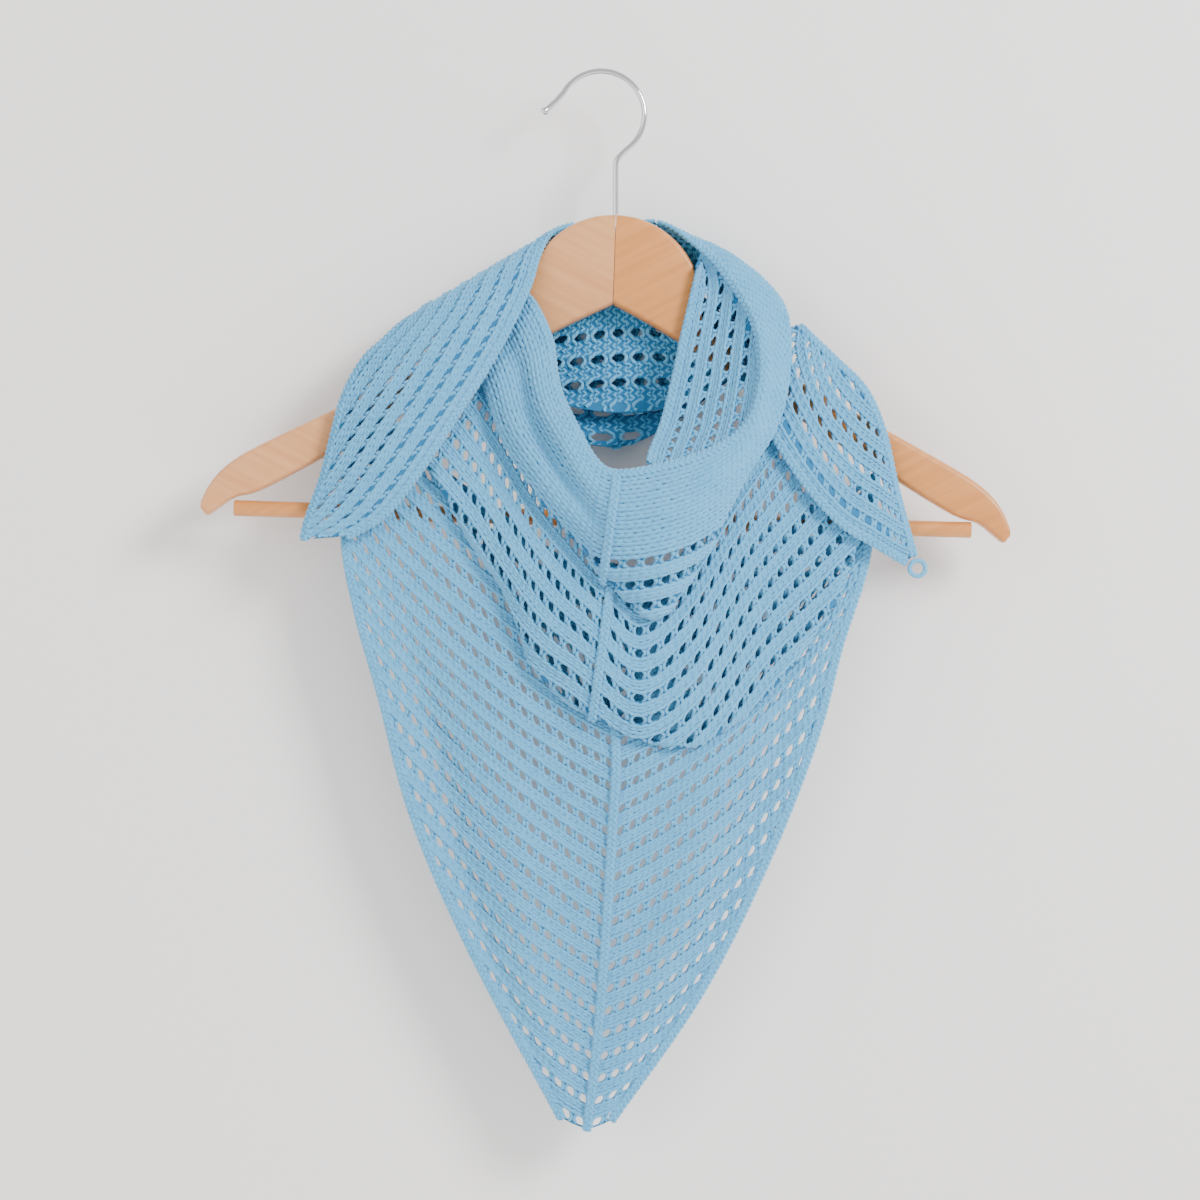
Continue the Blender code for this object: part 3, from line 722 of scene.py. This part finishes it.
@dataclass
class Cloth:
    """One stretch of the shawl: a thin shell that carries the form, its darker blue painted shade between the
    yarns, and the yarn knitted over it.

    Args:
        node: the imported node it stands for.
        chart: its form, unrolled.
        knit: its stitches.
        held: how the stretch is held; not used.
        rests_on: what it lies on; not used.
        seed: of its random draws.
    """

    node: str
    chart: Chart
    knit: Knit
    held: str
    rests_on: Sequence[str]
    seed: int = 1

    GROUND_THICK = 0.8
    GROUND_DEPTH = -0.5
    LOOP_STEPS = 8
    LADDER_STEPS = 4
    RUNG_HALF = 1.5
    ROLL_WIDTH = 5.0
    LADDER_INSET = 0.3  # of ground left beside the ribs
    SELVEDGE = 4.0  # no ladder is open nearer the far side
    WANDER = 0.06  # of a stitch from its place
    RUNG_ROUNDNESS, RUNG_LIFT = 0.7, 0.6
    RUNG_GAP, RUNG_CROSSING = 0.8, 0.55  # of the yarn's radius

    def lift(self, b: np.ndarray, a: np.ndarray) -> np.ndarray:
        """How far the right side stands out: ribs bulge between ladders as a cosine of their repeat, and the
        far side's last few mm fall back as a square where the cloth turns under."""
        repeat = self.knit.ribs_between * self.knit.rib + self.knit.ladder
        middle = self.knit.plain_until + self.knit.ladder + self.knit.ribs_between * self.knit.rib / 2
        bulge = self.knit.relief * np.cos(2 * math.pi * (a - middle) / repeat)
        bulge = np.where(a < self.knit.plain_until, 0.0, bulge)
        near = np.clip(1 - self.chart.edge_distance(b, a) / self.ROLL_WIDTH, 0, 1)
        return bulge - self.knit.roll * near**2

    def raised(self, b: np.ndarray, a: np.ndarray, height: np.ndarray) -> tuple[np.ndarray, np.ndarray]:
        """Points at a height over the chart, and the normals there."""
        normal = self.chart.normal(b, a)
        return self.chart.point(b, a) + normal * (height + self.lift(b, a))[..., None], normal

    def shade_backing(self, finish: bpy.types.Material) -> bpy.types.Object:
        """A closed thin shell on the chart, left open where a ladder shows daylight. Its darker blue finish
        is painted shade in the gaps between the yarns.

        Its lines run beside each twisted pair of strands and beside each ladder, so that an open cell is
        left out whole. Its rim walls stand where a kept cell has no kept neighbour.
        """
        knit, pair = self.knit, 2 * self.knit.pitch
        rungs = np.arange(knit.pitch * (1 - knit.loop_reach), self.chart.length, pair)
        lines_b = np.concatenate([rungs - self.RUNG_HALF, rungs + self.RUNG_HALF, [0, self.chart.length]])
        lines_b = np.unique(np.round(np.clip(lines_b, 0, self.chart.length), 3))
        lines_a, open_a = [0.0], []
        for kind, start, width in knit.strips(self.chart.width):
            inset = self.LADDER_INSET if kind is Stitch.LADDER else width / 2
            lines_a += [start, start + inset, start + width - inset, start + width]
            if kind is Stitch.LADDER:
                open_a.append(start + width / 2)
        lines_a = np.unique(np.round(np.clip(lines_a, 0, self.chart.width), 3))
        b, a = np.meshgrid(lines_b, lines_a, indexing="ij")
        mid_b, mid_a = (lines_b[1:] + lines_b[:-1]) / 2, (lines_a[1:] + lines_a[:-1]) / 2
        far_from_rung = np.abs(mid_b[:, None] - rungs).min(axis=1) > self.RUNG_HALF
        in_ladder = (
            np.abs(mid_a[:, None] - np.array(open_a)).min(axis=1) < 0.5
            if open_a
            else np.zeros(len(mid_a), bool)
        )
        cell_b, cell_a = np.meshgrid(mid_b, mid_a, indexing="ij")
        share = cell_a / np.maximum(cell_a + self.chart.edge_distance(cell_b, cell_a), 1)
        clear = self.chart.edge_distance(cell_b, cell_a) > self.SELVEDGE
        hole = far_from_rung[:, None] & in_ladder[None] & (share > knit.open_from) & clear
        limited_b, limited_a = self.chart.limit(b, a)
        outside = (np.abs(limited_b - b) + np.abs(limited_a - a)) > 1e-6
        gone = outside[:-1, :-1] & outside[1:, :-1] & outside[:-1, 1:] & outside[1:, 1:]
        keep = ~gone & ~hole
        middle, normal = self.raised(limited_b, limited_a, np.full(b.shape, self.GROUND_DEPTH))
        front = middle + normal * self.GROUND_THICK / 2
        back = middle - normal * self.GROUND_THICK / 2
        count = b.size
        index = np.arange(count).reshape(b.shape)
        quads = np.stack([index[:-1, :-1], index[1:, :-1], index[1:, 1:], index[:-1, 1:]], axis=-1)
        padded = np.pad(keep, 1)
        cells_b, cells_a = keep.shape
        walls = []
        for k, (step_b, step_a) in enumerate([(0, -1), (1, 0), (0, 1), (-1, 0)]):
            rows = slice(1 + step_b, 1 + step_b + cells_b)
            columns = slice(1 + step_a, 1 + step_a + cells_a)
            edge = quads[keep & ~padded[rows, columns]]
            first, second = edge[:, k], edge[:, (k + 1) % 4]
            walls.append(np.stack([second, first, first + count, second + count], axis=-1))
        faces = np.concatenate([quads[keep], quads[keep][:, ::-1] + count, *walls])
        if self.chart.sign < 0:
            faces = faces[:, ::-1]
        points, faces = joined(np.concatenate([front, back]).reshape(-1, 3), faces)
        return mesh_object(f"{self.node}_ground", points, [faces], finish)

    def yarn(self, finish: bpy.types.Material) -> bpy.types.Object:
        """The yarn, one strand for each course across the ribs.

        In a rib the strand makes a loop: across it goes on evenly plus the sine of twice the angle, along
        it swings as a cosine, and in depth as the cosine of twice the angle. In a ladder it runs straight
        over, and each pair of strands leans together and crosses.
        """
        knit, chance = self.knit, np.random.default_rng(self.seed)
        across, along, depth, leaning, crossing = [], [], [], [], []
        for kind, start, width in knit.strips(self.chart.width):
            if kind is Stitch.RIB:
                angle = np.linspace(0, 2 * math.pi, self.LOOP_STEPS, endpoint=False)
                even = width * angle / (2 * math.pi)
                across.append(start + even + knit.loop_lean * width * np.sin(2 * angle))
                along.append(-np.cos(angle))
                depth.append(-np.cos(2 * angle))
                leaning.append(np.zeros_like(angle))
                crossing.append(np.zeros_like(angle))
            else:
                part = np.linspace(0, 1, self.LADDER_STEPS, endpoint=False)
                across.append(start + width * part)
                along.append(-np.ones_like(part))
                depth.append(-np.ones_like(part))
                leaning.append(np.sin(math.pi * part) ** self.RUNG_ROUNDNESS)
                crossing.append(np.sin(2 * math.pi * part))
        across, along, depth, leaning, crossing = map(
            np.concatenate, (across, along, depth, leaning, crossing)
        )
        courses = np.arange(knit.pitch / 2, self.chart.length, knit.pitch)
        hand = np.where(np.arange(len(courses)) % 2 == 0, 1.0, -1.0)[:, None]
        wander = chance.normal(0, self.WANDER, (len(courses), len(across)))
        wander = (wander + np.roll(wander, 1, axis=1) + np.roll(wander, 2, axis=1)) * 1.2
        b = courses[:, None] + knit.pitch * knit.loop_reach * along + wander
        b = b + hand * leaning * (knit.pitch / 2 - knit.yarn * self.RUNG_GAP)
        a = across + np.roll(wander, 3, axis=0)
        height = knit.loop_depth * depth + self.RUNG_CROSSING * knit.yarn * hand * crossing
        height = height + knit.loop_depth * self.RUNG_LIFT * leaning
        points, normals = self.raised(b, a, height)
        valid = self.chart.inside(b, a)
        made = Tubes(points, normals, knit.yarn, 5, valid).mesh()
        return mesh_object(f"{self.node}_yarn", made[0], [made[1]], finish, made[2])

    def dress(self, shade_backing: bpy.types.Material, yarn: bpy.types.Material, trims: Sequence) -> None:
        shell = attach(self.shade_backing(shade_backing), "cotton_yarn", self.node)
        strands = attach(self.yarn(yarn), "cotton_yarn")
        area = self.chart.area() * MM * MM


@dataclass(frozen=True)
class Braid:
    """A chain edge: three yarns plaited, as the slipped stitches at a row's end look."""

    half_width: float = 1.7
    depth: float = 0.7
    period: float = 9.5
    yarn: float = 1.25
    steps: int = 9

    def made(
        self, name: str, path: np.ndarray, normals: np.ndarray, finish: bpy.types.Material
    ) -> bpy.types.Object:
        """The plait along a path in mm: each yarn swings sideways as a sine and in depth as the sine of
        twice the angle, a third of a turn after the one before."""
        run = run_length(path)
        count = max(8, int(run[-1] / self.period * self.steps))
        at = np.linspace(0, run[-1], count)
        centre = np.stack([np.interp(at, run, path[:, k]) for k in range(3)], axis=-1)
        up = unit(np.stack([np.interp(at, run, normals[:, k]) for k in range(3)], axis=-1))
        side = np.cross(unit(np.gradient(centre, axis=0)), up)
        angle = 2 * math.pi * (at / self.period + np.arange(3)[:, None] / 3)
        points = (
            centre[None]
            + self.half_width * np.sin(angle)[..., None] * side[None]
            + self.depth * np.sin(2 * angle)[..., None] * up[None]
        )
        made = Tubes(points, np.broadcast_to(up, points.shape), self.yarn).mesh()
        return attach(mesh_object(name, made[0], [made[1]], finish, made[2]), "cotton_yarn")


class Shawl:
    """The knitted shawl: nine stretches of cloth, their chain edges, the spine and the tip ring."""

    LACE = Knit()
    EDGE_STEPS, SPINE_STEPS = 240, 60
    RIM_HEIGHT, CHAIN_HEIGHT, COLLAR_RIM_HEIGHT = 0.4, 0.5, 0.6  # over the middle of the cloth
    SPINE_HEIGHT, PANEL_SPINE_HEIGHT = 1.4, 1.6

    def __init__(self) -> None:
        # The backing shell's darker blue is painted shade: it stands for the shadow in the gaps between and
        # under the yarns, and it also keeps the cloth from showing daylight.
        self.shade_backing = PlainFinish("cotton_painted_shade", "#1F6E9E", 0.95).made()
        self.yarn = YarnFinish("cotton_yarn_blue", "#62B2DC", "#4CA2D0").made()

    @staticmethod
    def strip_chart(table: Sequence[Section], start: float, end: float) -> Chart:
        """A chart of a length of one of the tables."""
        return Chart(
            lambda along, across: strip_surface(table, along, across),
            start,
            end,
            lambda along: faces_way(through(table, along)[..., 7]),
        )

    def edge(self, name: str, chart: Chart, far: bool, height: float) -> bpy.types.Object:
        """A plait along a chart's far side or its long edge."""
        if isinstance(chart, PointChart):
            a = np.linspace(0, chart.width, self.EDGE_STEPS)
            b = chart.edge_distance(np.zeros_like(a), a) * (1.0 if far else 0.0)
        else:
            b = np.linspace(0, chart.length, self.EDGE_STEPS)
            a = chart.edge_distance(b, np.zeros_like(b)) * (1.0 if far else 0.0)
        normal = chart.normal(b, a)
        return Braid().made(name, chart.point(b, a) + normal * height, normal, self.yarn)

    def spine(self, name: str, chart: Chart, at_place: float, height: float) -> bpy.types.Object:
        """A plait straight across a strip, where the two halves of the shawl meet."""
        across = np.linspace(0, 1, self.SPINE_STEPS)
        b = np.full_like(across, np.interp(at_place, chart.fine, chart.run))
        a = across * chart.edge_distance(b, np.zeros_like(b))
        normal = chart.normal(b, a)
        return Braid().made(name, chart.point(b, a) + normal * height, normal, self.yarn)

    def dress(self) -> None:
        """Builds every stretch in order from the back to the front."""
        yarn, shade_backing = self.yarn, self.shade_backing
        back = Knit(pitch=5.4, rib=4.4, plain_until=30, yarn=1.2, roll=1.5)
        outer = self.strip_chart(BORDER, COLLAR_END + SEAM, WRAP_OUTER_END - RIDGE_SEAM)
        Cloth("shawl_wrap_outer", outer, back, "draped", ["hanger_arm_left", "hanger_arm_right"], 2).dress(
            shade_backing, yarn, [self.edge("wrap_outer_rim", outer, False, self.RIM_HEIGHT)]
        )
        inner = self.strip_chart(INNER_END, 0, INNER_RIDGE - RIDGE_SEAM)
        Cloth("shawl_wrap_inner", inner, back, "draped", ["hanger_arm_left", "hanger_arm_right"], 3).dress(
            shade_backing, yarn, [self.edge("wrap_inner_rim", inner, False, self.RIM_HEIGHT)]
        )
        for side, name in ((-1, "shawl_panel_left"), (1, "shawl_panel_right")):
            chart = PointChart(side)
            trims = [self.edge(f"{name}_chain", chart, True, self.CHAIN_HEIGHT)]
            if side < 0:
                trims.append(self.edge("panel_spine", chart, False, self.PANEL_SPINE_HEIGHT))
            Cloth(name, chart, self.LACE, "draped", ["hanger_bar"], 5 + side).dress(shade_backing, yarn, trims)
        swag = self.strip_chart(SWAG, 0, len(SWAG) - 1)
        panels = ["shawl_panel_left", "shawl_panel_right"]
        Cloth("shawl_swag", swag, Knit(roll=3.0), "draped", panels, 7).dress(
            shade_backing, yarn, [self.spine("swag_spine", swag, SWAG_SPINE, self.SPINE_HEIGHT)]
        )
        right = self.strip_chart(INNER_END, INNER_RIDGE + RIDGE_SEAM, len(INNER_END) - 1)
        Cloth("shawl_wing_right", right, Knit(open_from=0.2), "draped", ["hanger_arm_right"], 8).dress(
            shade_backing,
            yarn,
            [
                self.edge("wing_right_rim", right, False, self.RIM_HEIGHT),
                self.edge("wing_right_chain", right, True, self.CHAIN_HEIGHT),
                self.tip_loop(),
            ],
        )
        fold = Chart(
            rim_fold_surface, 0, len(RIM_FOLD) - 1, lambda along: faces_way(np.zeros_like(along))
        )
        Cloth("shawl_rim_fold", fold, Knit(ladder=3.4), "folded", ["shawl_collar"], 9).dress(
            shade_backing, yarn, [self.edge("rim_fold_chain", fold, False, self.RIM_HEIGHT)]
        )
        collar = self.strip_chart(BORDER, 0, COLLAR_END - SEAM)
        plain = Knit(pitch=4.9, plain_until=48, plain_rib=4.9, yarn=1.2, roll=3.0)
        Cloth("shawl_collar", collar, plain, "draped", ["hanger_arm_left", "hanger_arm_right"], 10).dress(
            shade_backing,
            yarn,
            [
                self.edge("collar_rim", collar, False, self.COLLAR_RIM_HEIGHT),
                self.spine("collar_spine", collar, COLLAR_SPINE, self.SPINE_HEIGHT),
            ],
        )
        left = self.strip_chart(BORDER, WRAP_OUTER_END + RIDGE_SEAM, len(BORDER) - 1)
        narrow = Knit(open_from=0.45, ladder=4.0)
        Cloth("shawl_wing_left", left, narrow, "draped", ["hanger_arm_left"], 11).dress(
            shade_backing,
            yarn,
            [
                self.edge("wing_left_rim", left, False, self.RIM_HEIGHT),
                self.edge("wing_left_chain", left, True, self.CHAIN_HEIGHT),
            ],
        )

    def tip_loop(self) -> bpy.types.Object:
        """The small ring at the right wing's tip: a closed circle of yarn."""
        angle = np.linspace(0, 2 * math.pi, 33)
        x, y, z = LOOP_AT
        across = x + LOOP_RADIUS * np.cos(angle)
        up = z + LOOP_RADIUS * np.sin(angle)
        ring = np.stack([across, np.full_like(angle, y), up], axis=-1)
        normals = np.broadcast_to([0.0, -1.0, 0.0], ring.shape)
        points, faces, corners = Tubes(ring[None], normals[None], LOOP_YARN, 10).mesh()
        made = mesh_object("tip_loop", points, [faces], self.yarn, corners)
        return attach(made, "cotton_yarn", "shawl_tip_loop")


class Hanger:
    """The beech hanger: two contoured arms, the bar under them and the chrome hook."""

    ARM_RINGS = 70
    CORNER_STEPS = 6

    def __init__(self) -> None:
        # The two beech finishes are lit and shaded copies of one wood. The left arm's lighter tan is painted
        # light, and the right arm's darker tan, which the bar also uses, is painted shade.
        self.lit_and_shaded_beech = {
            -1: WoodFinish("beech_left_painted_light", "#D99A63", "#C98650", -27).made(),
            1: WoodFinish("beech_right_painted_shade", "#D28A44", "#BE7634", 27).made(),
        }
        self.chrome = PlainFinish("polished_chrome", "#D6D6D8", 0.1, 1.0).made()

    @staticmethod
    def turned(points: np.ndarray) -> np.ndarray:
        """Points in the hanger's level frame, turned by its tilt and moved to the joint."""
        cos, sin = math.cos(HANGER_TILT), math.sin(HANGER_TILT)
        x, y, z = points[..., 0], points[..., 1], points[..., 2]
        return np.stack([x * cos + z * sin + JOINT_X, y, -x * sin + z * cos + JOINT_Z], axis=-1)

    def arm(self, side: int, name: str) -> bpy.types.Object:
        """A loft through the arm's sections: each ring is an upright oblong with round corners, and the arm
        comes forward as the square of its reach."""
        row = through(ARM_SECTIONS, np.linspace(0, len(ARM_SECTIONS) - 1, self.ARM_RINGS))
        out = np.maximum(row[:, 0], JOINT_GAP)
        height = row[:, 1] - row[:, 2]
        corner = np.minimum(ARM_CORNER, height * 0.45)[:, None]
        angle = np.concatenate([np.linspace(0, 90, self.CORNER_STEPS) + start for start in (0, 90, 180, 270)])
        angle = np.radians(angle)
        quarter = np.repeat(np.arange(4), self.CORNER_STEPS)
        sign_f = np.array([1, -1, -1, 1])[quarter]
        upper = np.array([True, True, False, False])[quarter]
        forward = sign_f * (ARM_THICK / 2 - corner) + corner * np.cos(angle)
        z = np.where(upper, row[:, 1:2] - corner, row[:, 2:3] + corner) + corner * np.sin(angle)
        bow = (ARM_FORWARD * (out / ARM_REACH) ** 2)[:, None]
        points = np.stack([side * out[:, None] + 0 * z, -(bow + forward), z], axis=-1)
        points = self.turned(points).reshape(-1, 3)
        index = np.arange(len(points)).reshape(len(row), -1)
        after = np.roll(index, -1, axis=1)
        quads = np.stack([index[:-1], after[:-1], after[1:], index[1:]], axis=-1).reshape(-1, 4)
        caps = np.stack([index[0][::-1], index[-1]])
        if side < 0:
            quads, caps = quads[:, ::-1], caps[:, ::-1]
        made = mesh_object(name, points, [quads, caps], self.lit_and_shaded_beech[side])
        made.data.set_sharp_from_angle(angle=math.radians(45))
        return attach(made, "beech", f"hanger_{name}")

    def rod(
        self, name: str, path: np.ndarray, radius: np.ndarray, finish: bpy.types.Material, slot: str
    ) -> bpy.types.Object:
        """A wire or bar with closed ends."""
        sides = 20
        normals = np.broadcast_to([0.0, -1.0, 0.0], path.shape)
        radius = np.broadcast_to(radius, path.shape[:1])
        path = np.concatenate([path[:1], path, path[-1:]])
        normals = np.concatenate([normals[:1], normals, normals[-1:]])
        radius = np.concatenate([[0.02], radius, [0.02]])
        path[0] -= 0.01 * unit(path[2] - path[1])
        path[-1] += 0.01 * unit(path[-2] - path[-3])
        points, faces, _ = Tubes(path[None], normals[None], radius[None], sides).mesh()
        made = mesh_object(name, points, [faces], finish)
        made.data.set_sharp_from_angle(angle=math.radians(50))
        return attach(made, slot, f"hanger_{name}")

    @staticmethod
    def hook_path() -> tuple[np.ndarray, np.ndarray]:
        """The wire's middle and its radius.

        It goes up the shank, out by a cubic, round the crook and down to a small ball.
        """
        centre_z = WIRE_RADIUS - CROOK_RADIUS
        dome_top = JOINT_Z + ARM_SECTIONS[0].top
        shank = np.stack([np.full(6, SHANK_X), np.linspace(dome_top + 0.55, -60, 6)], axis=-1)
        leave = math.radians(CROOK_FROM)
        foot = np.array([SHANK_X, BEND_FROM_Z])
        centre = np.array([CROOK_X, centre_z])
        start = centre + CROOK_RADIUS * np.array([math.cos(leave), math.sin(leave)])
        part = np.linspace(0, 1, 15)[:-1, None]
        bend = (
            (2 * part**3 - 3 * part**2 + 1) * foot
            + (part**3 - 2 * part**2 + part) * np.array([0, 14.0])
            + (3 * part**2 - 2 * part**3) * start
            + (part**3 - part**2) * 16.0 * np.array([-math.sin(leave), math.cos(leave)])
        )
        angle = np.radians(np.linspace(CROOK_FROM, CROOK_TO, 60))
        crook = centre + CROOK_RADIUS * np.stack([np.cos(angle), np.sin(angle)], axis=-1)
        end = crook[-1] + np.array([[-4.0, -4.6], [-8.6, -8.6]])
        ball = np.array(BALL_STEPS)
        tip = end[-1] - ball[:, None] * np.array([0.75, 0.66])
        flat = np.concatenate([shank, bend, crook, end, tip])
        radius = np.full(len(flat), WIRE_RADIUS)
        radius[-len(ball) :] *= np.array(BALL_SCALES)
        return np.stack([flat[:, 0], 0 * flat[:, 0], flat[:, 1]], axis=-1), radius

    def dress(self) -> None:
        """Builds the arms, the bar and the hook."""
        self.arm(-1, "arm_left")
        self.arm(1, "arm_right")
        ends = [
            [-BAR_REACH[0], -BAR_FORWARD, -BAR_DROP[0]],
            [BAR_REACH[1], -BAR_FORWARD, -BAR_DROP[1]],
        ]
        bar = np.linspace(*self.turned(np.array(ends)), 12)
        self.rod("bar", bar, np.array(BAR_RADIUS), self.lit_and_shaded_beech[1], "beech")
        path, radius = self.hook_path()
        self.rod("hook", path, radius, self.chrome, "hook_chrome")


@dataclass(frozen=True)
class Lamp:
    """One soft light, in metres and watts."""

    name: str
    place: tuple[float, float, float]
    watts: float
    size: float

    def dress(self, target: Vector) -> None:
        """Puts an area light at its place, turned to the target."""
        light = bpy.data.lights.new(self.name, "AREA")
        light.energy = self.watts
        light.size = self.size
        made = bpy.data.objects.new(self.name, light)
        made.location = self.place
        made.rotation_euler = (target - Vector(self.place)).to_track_quat("-Z", "Y").to_euler()
        bpy.context.scene.collection.objects.link(made)


class Studio:
    """White wall, pale floor, soft light from the right, and the camera straight in front."""

    WALL_Y, FLOOR_Z, HALF = 0.034, -1.1, 3.0
    FRAME_WIDTH, LENS, SENSOR = 0.6636, 85.0, 36.0
    CENTRE = Vector((-0.0011, 0.0, -0.2909))
    LAMPS = (
        Lamp("key", (1.4, -1.5, 0.7), 62.0, 0.7),
        Lamp("fill", (-1.6, -2.0, 0.1), 22.0, 1.8),
    )

    def backdrop(self) -> None:
        """A wall and a floor in one sheet, joined by a quarter circle."""
        radius = 0.4
        angle = np.radians(np.linspace(0, 90, 12))
        y = np.concatenate([[self.WALL_Y], self.WALL_Y - radius + radius * np.cos(angle), [-self.HALF]])
        z = np.concatenate([[self.HALF], self.FLOOR_Z + radius - radius * np.sin(angle), [self.FLOOR_Z]])
        x = np.array([-self.HALF, self.HALF])
        points = np.stack([np.repeat(x, len(y)), np.tile(y, 2), np.tile(z, 2)], axis=-1) / MM
        index = np.arange(len(points)).reshape(2, -1)
        quads = np.stack([index[0, :-1], index[0, 1:], index[1, 1:], index[1, :-1]], axis=-1)
        wall = PlainFinish("matt_white_paint", "#F6F3F1", 0.9).made()
        mesh_object("backdrop", points, [quads], wall)

    def dress(self) -> None:
        """Builds the backdrop, the lights, the sky and the camera."""
        self.backdrop()
        for lamp in self.LAMPS:
            lamp.dress(self.CENTRE)
        world = bpy.data.worlds.new("soft_sky")
        world.use_nodes = True
        sky = world.node_tree.nodes["Background"]
        sky.inputs["Color"].default_value = (1, 1, 1, 1)
        sky.inputs["Strength"].default_value = 0.95
        bpy.context.scene.world = world
        lens = bpy.data.cameras.new("front")
        lens.lens = self.LENS
        lens.sensor_width = self.SENSOR
        camera = bpy.data.objects.new("front", lens)
        away = self.FRAME_WIDTH * self.LENS / self.SENSOR
        camera.location = self.CENTRE + Vector((0, -away, 0))
        camera.rotation_euler = (math.radians(90), 0, 0)
        bpy.context.scene.collection.objects.link(camera)
        bpy.context.scene.camera = camera


def main() -> None:
    """Builds the hanger, the shawl and the studio."""
    logging.basicConfig(level=logging.INFO, format="%(name)s: %(message)s")
    Hanger().dress()
    Shawl().dress()
    Studio().dress()


if __name__ == "__main__":
    main()
